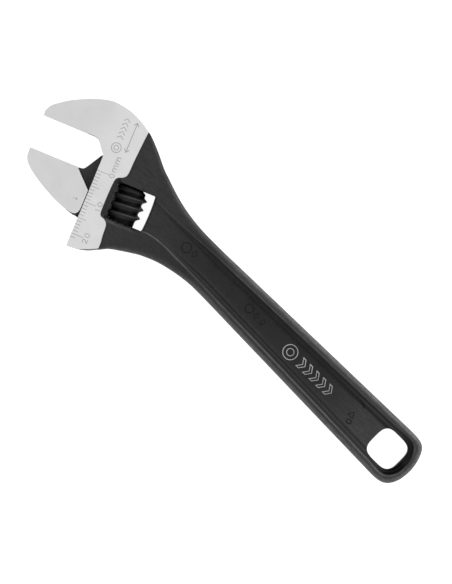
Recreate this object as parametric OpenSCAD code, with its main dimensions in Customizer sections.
// Adjustable wrench, lying flat, with its jaws part open.
//
// Design axes: +X runs along the handle from the jaws to the hang hole, +Y points to the side of
// the fixed jaw and +Z is up. The throat corner is at [0, 0] and z = 0 is the middle of the metal.
// Jaw axes: the design axes turned by jaw_angle about Z. The jaw slides along their Y.
// seated() moves the whole part so that its origin is the middle of the base of its box.

/* [Jaws] */
// Distance between the jaw faces as drawn
jaw_opening = 10.2; // [0.5:0.1:19.7]
// Angle of the jaw faces' slide to the handle
jaw_angle = 22.5; // [20:0.5:24]
// Length of the jaw faces, from the throat corner to the tip
jaw_reach = 20.8; // [19:0.2:23]
// Thickness over the ground faces
jaw_thickness = 11; // [10.5:0.1:12]

/* [Movable jaw] */
// Thickness of the neck that slides in the head's slot
neck_thickness = 4; // [3:0.1:4.4]
// Radius of the round rack bar
bar_r = 4.1; // [3.9:0.05:4.2]
// Length of the rack bar
bar_length = 26; // [25:0.5:28]

/* [Head] */
// Thickness of the head's black cheeks
cheek_thickness = 10.2; // [9.6:0.1:10.4]
// Length of the window along the worm
window_length = 11.1; // [11.1:0.1:11.5]
// Width of the window across the worm
window_width = 11.8; // [11.3:0.1:12.1]

/* [Handle] */
// Distance from the throat corner to the handle's end
handle_end = 130.1; // [122.1:0.2:140.1]
// Handle width at its narrowest
neck_width = 13.7; // [13:0.1:14.5]
// Handle width at its end
end_width = 17.3; // [16:0.1:18]
// Thickness over the handle's edges
flange_thickness = 7.4; // [6.5:0.1:8.4]
// Thickness of the web between the edges
web_thickness = 4.4; // [3:0.1:5.4]
// Length of the hang hole
hang_length = 10.4; // [8:0.2:12]

/* [Worm] */
// Axial pitch of the worm's one thread, and of the rack
pitch = 2.7; // [2.7:0.01:2.72]
// Radius over the thread
worm_r = 5; // [4.85:0.05:5.05]
// Radius at the thread's root
root_r = 3.6; // [3.4:0.05:3.65]
// Length of the worm
worm_length = 11; // [10.8:0.05:11]
// Radius of the pin that the worm turns on
pin_r = 1.5; // [1.2:0.05:1.5]
// Radius of the pin's screwed end
screw_r = 2; // [1.8:0.05:2.2]

/* [Fits] */
// Radial gap between the worm and its pin
running_gap = 0.05; // [0.02:0.01:0.09]
// Gap round the rack bar and the neck
sliding_gap = 0.08; // [0.04:0.01:0.09]
// Gap between a rack tooth and the thread
mesh_gap = 0.14; // [0.12:0.01:0.22]

/* [Hidden] */
$fn = 48;

// Heights along the jaw axes' Y
fixed_face = 4.2;
moving_face = fixed_face - jaw_opening;
window_top = -5.35;
window_bottom = window_top - window_length;
worm_bottom = window_bottom + 0.05;
worm_top = worm_bottom + worm_length;

// The neck and the bar reach this far above the movable jaw's face
neck_height = 5.95;

// Places along the jaw axes' X
bar_x = bar_r + 0.1;
neck_root = 1.5;
worm_x = 12.15;
window_left = 7;
window_right = window_left + window_width;
window_bow = 0.25;
rack_tip = bar_x + bar_r;

// Handle outline
handle_mid = -1.93;
neck_x = 44;
blend_x = 52;
bow_start = handle_end - 11.8;

// Details of the worm, its pin and its spring
pin_tip = -0.5;
screw_start = window_bottom - 0.6;
screw_end = -24.3;
screw_slot = 0.7;
pocket_r = 2.45;
pocket_depth = 3.4;
end_chamfer = 0.5;
wire_r = 0.25;
spring_r = 2;
spring_gap = 0.02;

// At timed_opening the thread's crest is crest_height above the worm's foot on the side of the
// rack. The worm turns once for each pitch that the jaw moves.
timed_opening = 10.2;
crest_height = 1.75;
worm_turn = 360 * (jaw_opening - timed_opening) / pitch;
thread_turns = 3.64;
thread_start = 70;
thread_steps = 24;
core_inset = 0.3;

// Section of the thread: [radius as a share from root to crest, height from the crest]
thread_section = [[0, 0.85], [0.65, 0.45], [1, 0.12], [1, -0.15], [0.58, -0.6], [0, -1.4]];

eps = 0.01;
far = 60;

// ---- Curves ----------------------------------------------------------------------------

function turned(p) = [
  p.x * cos(jaw_angle) - p.y * sin(jaw_angle),
  p.x * sin(jaw_angle) + p.y * cos(jaw_angle)
];

function all_turned(points) = [for (p = points) turned(p)];

function curve_point(p, q, r, s, t) =
  0.5 * (2 * q + (r - p) * t + (2 * p - 5 * q + 4 * r - s) * t * t
    + (3 * q - p - 3 * r + s) * t * t * t);

// A smooth curve through points, with n steps from each to the next
function smooth(points, n = 4) = [
  for (i = [0 : len(points) - 2])
    for (k = [0 : n - 1])
      curve_point(
        points[max(i - 1, 0)], points[i], points[i + 1],
        points[min(i + 2, len(points) - 1)], k / n
      ),
  points[len(points) - 1]
];

// ---- Outlines in the jaw axes ----------------------------------------------------------

jaw_crown = smooth([
  [-jaw_reach - 0.1, 5.6], [-jaw_reach + 0.8, 7.55], [-17.9, 9.4], [-13.95, 12], [-8, 14.7],
  [-2.5, 15.9], [4, 14.7], [9.7, 11.6], [14, 7.7], [18.1, 3.2], [20.4, 1.15]
]);

throat = smooth([[0, 0], [-0.9, 1], [-2.2, 2.7], [-3.25, 3.7], [-4.6, fixed_face]]);

head_foot = smooth([
  [20, -23.3], [16, -24.05], [12, -24.95], [9.6, -26.15], [6.15, -27.85], [3.05, -28.65],
  [0.2, -28.9]
]);

// The edge of the raised, ground strip, on the side of the handle
strip_edge = smooth([
  [10, 13], [9.6, 9], [9.15, 2], [8.95, -2.4], [8.1, -3.8], [6.3, -4.8], [5.8, -7],
  [5.7, -14], [6, -16.6], [7.5, -17.4], [8.6, -18.7], [8.9, -22], [9.2, -24.6], [9, -28]
]);

// Both from the middle of the gripping face's height, which is y = 0 here
moving_jaw_outline = concat(
  [[-jaw_reach, 0], [-5.7, 0], [-0.15, -5.35]],
  smooth([[-0.15, -12], [-0.45, -13.1], [-1.6, -13.7]], 3),
  smooth([
    [-4, -13.1], [-8, -11.65], [-12, -9.75], [-16, -7.45], [-19, -5.25], [-20.5, -3.25],
    [-jaw_reach - 0.05, -0.9]
  ])
);

neck_crest = concat(
  smooth([[-5.7, -0.1], [-4.4, 0.1], [-3.6, 0.6], [-2, 3.25], [-0.7, 5.5]], 3),
  [[-0.3, neck_height], [0, neck_height]]
);

neck_outline = concat(
  [[-8, -1], [-6.5, -0.4]],
  neck_crest,
  [[neck_root, neck_height], [neck_root, neck_height - bar_length],
    [0.6, -14.4], [-0.1, -13.9], [-2.5, -13.3], [-8, -10]]
);

// ---- Outlines in the design axes -------------------------------------------------------

handle_bow = smooth([
  [bow_start, handle_mid + end_width / 2],
  [handle_end - 5.6, handle_mid + end_width / 2],
  [handle_end - 2.5, handle_mid + end_width / 2 - 1.1],
  [handle_end - 0.7, handle_mid + 4.2],
  [handle_end, handle_mid],
  [handle_end - 0.6, handle_mid - 4.4],
  [handle_end - 2.5, handle_mid - end_width / 2 + 1.2],
  [handle_end - 5.6, handle_mid - end_width / 2],
  [bow_start, handle_mid - end_width / 2]
]);

// Half the handle's width at x, between the neck and the bow
function half_width(x) =
  (neck_width + (end_width - neck_width) * (x - neck_x) / (bow_start - neck_x)) / 2;

shoulder = smooth([
  [20.6, 8.1], [25, 6.75], [30, 5.67], [36, 5.02], [neck_x, handle_mid + neck_width / 2],
  [blend_x, handle_mid + half_width(blend_x)]
]);

belly = smooth([
  [blend_x, handle_mid - half_width(blend_x)], [46, -8.95], [42, -9.3], [37.5, -10.1],
  [33, -11.32], [28.7, -13.15]
]);

body_outline = concat(
  [turned([-jaw_reach, fixed_face])],
  all_turned(jaw_crown),
  shoulder,
  handle_bow,
  belly,
  all_turned(head_foot),
  [turned([0, -28.6])],
  all_turned(throat)
);

// The pocket leaves a rib of this width along each edge of the handle
rib = 2.45;
pocket_outline = concat(
  smooth([[16, 1.5], [24, 1.5], [30, 1.65], [36, 1.95], [neck_x, handle_mid + neck_width / 2 - rib]]),
  smooth([
    [bow_start, handle_mid + end_width / 2 - rib + 0.3],
    [handle_end - 5.5, handle_mid + end_width / 2 - rib + 0.4],
    [handle_end - 2.7, handle_mid + 3.6],
    [handle_end - 1.9, handle_mid],
    [handle_end - 2.5, handle_mid - 3.8],
    [handle_end - 5.5, handle_mid - end_width / 2 + rib - 0.4],
    [bow_start, handle_mid - end_width / 2 + rib - 0.3]
  ]),
  smooth([[neck_x, handle_mid - neck_width / 2 + rib], [36, -6.3], [30, -6.35], [26, -7], [23.4, -8.1]]),
  [[16, -8.1]]
);

hang_x = handle_end - 9.5;
hang_y = handle_mid - 0.1;
hang_width = 10.3;
hang_squareness = 3.6;

// One signed coordinate of a square with bowed sides and round corners, of half-size 1
function bowed(u) = sign(u) * pow(abs(u), 2 / hang_squareness);

hang_outline = [for (angle = [0 : 7.5 : 359])
  [hang_x + hang_length / 2 * bowed(cos(angle)), hang_y + hang_width / 2 * bowed(sin(angle))]];

// Half the thickness along x, from the head's cheeks down to the handle
side_profile = smooth([
  [14, cheek_thickness / 2], [22, cheek_thickness / 2 - 0.25],
  [31, (cheek_thickness + flange_thickness) / 4 - 0.1],
  [39, flange_thickness / 2 + 0.08], [48, flange_thickness / 2]
]);
end_profile = smooth([
  [handle_end - 6, flange_thickness / 2], [handle_end - 2, flange_thickness / 2 - 0.35],
  [handle_end + 0.5, flange_thickness / 2 - 1]
]);

// Half the thickness of the web along x, which rises towards the head
web_profile = smooth([
  [14, cheek_thickness / 2 - 0.9], [24, cheek_thickness / 2 - 1.05],
  [34, (cheek_thickness + web_thickness) / 4 - 0.25], [44, web_thickness / 2 + 0.3],
  [54, web_thickness / 2]
]);

middle = [
  (min([for (p = body_outline) p.x]) + max([for (p = body_outline) p.x])) / 2,
  (min([for (p = body_outline) p.y]) + max([for (p = body_outline) p.y])) / 2
];

// ---- Shared shapes ---------------------------------------------------------------------

module seated() {
  translate([-middle.x, -middle.y, jaw_thickness / 2]) children();
}

module jaw_axes() {
  rotate(jaw_angle) children();
}

module slab(thickness) {
  linear_extrude(height = thickness, center = true) children();
}

// A shape drawn along Z from 0 is laid along the jaw axes' Y, at x, from y
module along_slide(x, y) {
  translate([x, y, 0]) rotate([-90, 0, 0]) children();
}

module both_faces() {
  children();
  mirror([0, 0, 1]) children();
}

// A tube or thread swept through sections, each a list of the same number of points
module swept(sections) {
  n = len(sections[0]);
  m = len(sections);
  polyhedron(
    points = [for (s = sections) each s],
    faces = concat(
      [[for (i = [0 : n - 1]) i]],
      [for (k = [0 : m - 2]) for (i = [0 : n - 1])
        let (a = k * n + i, b = k * n + (i + 1) % n) each [[a, a + n, b + n], [a, b + n, b]]],
      [[for (i = [n - 1 : -1 : 0]) (m - 1) * n + i]]
    )
  );
}

// ---- Body ------------------------------------------------------------------------------

module forging() {
  half = concat([[-far, cheek_thickness / 2]], side_profile, end_profile);
  intersection() {
    slab(cheek_thickness) polygon(body_outline);
    translate([0, far, 0]) rotate([90, 0, 0]) linear_extrude(height = 2 * far)
      polygon(concat(half, [for (i = [len(half) - 1 : -1 : 0]) [half[i].x, -half[i].y]]));
  }
}

module ground_faces() {
  slab(jaw_thickness) intersection() {
    polygon(body_outline);
    rotate(jaw_angle) polygon(concat(strip_edge, [[-far, -28 - far / 2], [-far, 20], [10, 20]]));
  }
}

module pockets() {
  both_faces() intersection() {
    linear_extrude(height = far) polygon(pocket_outline);
    translate([0, far, 0]) rotate([90, 0, 0]) linear_extrude(height = 2 * far)
      polygon(concat([[0, far]], web_profile, [[handle_end, web_thickness / 2], [handle_end, far]]));
  }
}

module hang_hole() {
  slab(far) polygon(hang_outline);
}

module window() {
  slab(far) polygon(concat(
    [[window_left, window_bottom]],
    smooth([
      [window_right, window_bottom], [window_right + 0.8 * window_bow, window_bottom + 3],
      [window_right + window_bow, (window_top + window_bottom) / 2],
      [window_right + 0.8 * window_bow, window_top - 3], [window_right, window_top]
    ]),
    [[window_left, window_top]]
  ));
}

// A slope on the strip that lets the thumb reach the worm
module thumb_reliefs() {
  both_faces() translate([0, window_top + 0.4, 0]) rotate([90, 0, 0])
    linear_extrude(height = window_length + 0.8)
      polygon([[5.8, jaw_thickness / 2 + eps], [window_left + eps, 3.9], [window_left + eps, 9]]);
}

module rack_bore() {
  along_slide(bar_x, -far) cylinder(r = bar_r + sliding_gap, h = far + fixed_face + neck_height + 0.35);
}

// The slot takes the neck at every opening, so it is the closed neck's outline carried down
module neck_slot() {
  slab(neck_thickness + 2 * sliding_gap) translate([0, fixed_face + 0.35])
    polygon(concat(
      [[-7, -far], [-7, -0.1]], neck_crest, [[bar_x, neck_height], [bar_x, -far]]
    ));
}

module pin_hole() {
  along_slide(worm_x, window_top - eps) cylinder(r = pin_r + 0.02, h = pin_tip + 0.1 - window_top);
  along_slide(worm_x, -far) cylinder(r = screw_r + 0.02, h = far + window_bottom + eps);
}

module body() {
  color([0.16, 0.16, 0.17]) seated() difference() {
    union() {
      forging();
      ground_faces();
    }
    pockets();
    hang_hole();
    jaw_axes() {
      window();
      thumb_reliefs();
      rack_bore();
      neck_slot();
      pin_hole();
    }
  }
}

// ---- Movable jaw -----------------------------------------------------------------------

// One groove of the rack. Its flanks follow the thread's with mesh_gap to spare.
module rack_groove() {
  lead = atan(pitch / (2 * PI * (worm_r - 0.5)));
  deep = worm_x - worm_r - 0.2;
  rotate([-lead, 0, 0]) slab(3 * bar_r) polygon([
    [deep, -0.18 - mesh_gap], [deep, 0.14 + mesh_gap],
    [deep + 0.75, 0.5 + mesh_gap], [rack_tip + 0.3, 0.72 + mesh_gap],
    [rack_tip + 0.3, -1.25 - mesh_gap], [deep + 0.85, -0.64 - mesh_gap]
  ]);
}

module rack_bar() {
  bar_top = moving_face + neck_height;
  first = worm_bottom + crest_height;
  difference() {
    along_slide(bar_x, bar_top - bar_length) cylinder(r = bar_r, h = bar_length);
    for (k = [-4 : 5])
      translate([0, first + k * pitch + timed_opening - jaw_opening, 0]) rack_groove();
  }
}

module movable_jaw() {
  color([0.8, 0.8, 0.82]) seated() jaw_axes() {
    translate([0, moving_face, 0]) {
      slab(jaw_thickness) polygon(moving_jaw_outline);
      slab(neck_thickness) polygon(neck_outline);
    }
    rack_bar();
  }
}

// ---- Worm, pin and spring --------------------------------------------------------------

// Share of the thread's full height at a step: it fades in and out over a third of a turn
function fade(step, last) = min(1, (step + 0.5) / 8, (last - step + 0.5) / 8);

module thread() {
  last = floor(thread_turns * thread_steps);
  inner = root_r - core_inset;
  swept([
    for (k = [0 : last])
      let (angle = thread_start + 360 * k / thread_steps)
        [for (p = thread_section)
          let (r = inner + fade(k, last) * (worm_r - inner) * (p.x > 0 ? 0.16 + 0.84 * p.x : 0))
            [r * cos(angle), r * sin(angle),
              crest_height + pitch * (angle - 180) / 360 + p.y]]
  ]);
}

// The worm's length, with a chamfer at its upper end
module worm_ends() {
  cylinder(r = 2 * worm_r, h = worm_length - end_chamfer);
  translate([0, 0, worm_length - end_chamfer - eps])
    cylinder(r1 = worm_r, r2 = pocket_r + 0.3, h = end_chamfer + eps);
}

module worm() {
  color([0.12, 0.12, 0.13]) seated() jaw_axes() along_slide(worm_x, worm_bottom)
    rotate(worm_turn) difference() {
      intersection() {
        union() {
          cylinder(r = root_r, h = worm_length);
          thread();
        }
        worm_ends();
      }
      translate([0, 0, -1]) cylinder(r = pin_r + running_gap, h = worm_length + 2);
      translate([0, 0, worm_length - pocket_depth]) cylinder(r = pocket_r, h = pocket_depth + 1);
    }
}

module worm_pin() {
  color([0.45, 0.45, 0.46]) seated() jaw_axes() difference() {
    union() {
      along_slide(worm_x, screw_start - eps) cylinder(r = pin_r, h = pin_tip - screw_start);
      along_slide(worm_x, screw_end) cylinder(r = screw_r, h = screw_start - screw_end);
    }
    translate([worm_x, screw_end, 0]) cube([screw_slot, 1.6, 3 * screw_r], center = true);
  }
}

module worm_spring() {
  low = worm_top - pocket_depth + wire_r + spring_gap;
  rise = window_top - wire_r - spring_gap - low;
  turns = 4;
  steps = 16;
  // The end turns lie close together and the others share the rest of the height
  close = 2 * wire_r + spring_gap;
  function height(t) = close * (min(1, t) + max(0, t - turns + 1))
    + (rise - 2 * close) * min(1, max(0, (t - 1) / (turns - 2)));
  color([0.6, 0.6, 0.62]) seated() jaw_axes() along_slide(worm_x, low) swept([
    for (k = [0 : turns * steps])
      let (angle = 360 * k / steps)
        [for (i = [0 : 5])
          let (r = spring_r + wire_r * cos(60 * i))
            [r * cos(angle), r * sin(angle), height(k / steps) - wire_r * sin(60 * i)]]
  ]);
}

body();
movable_jaw();
worm();
worm_pin();
worm_spring();
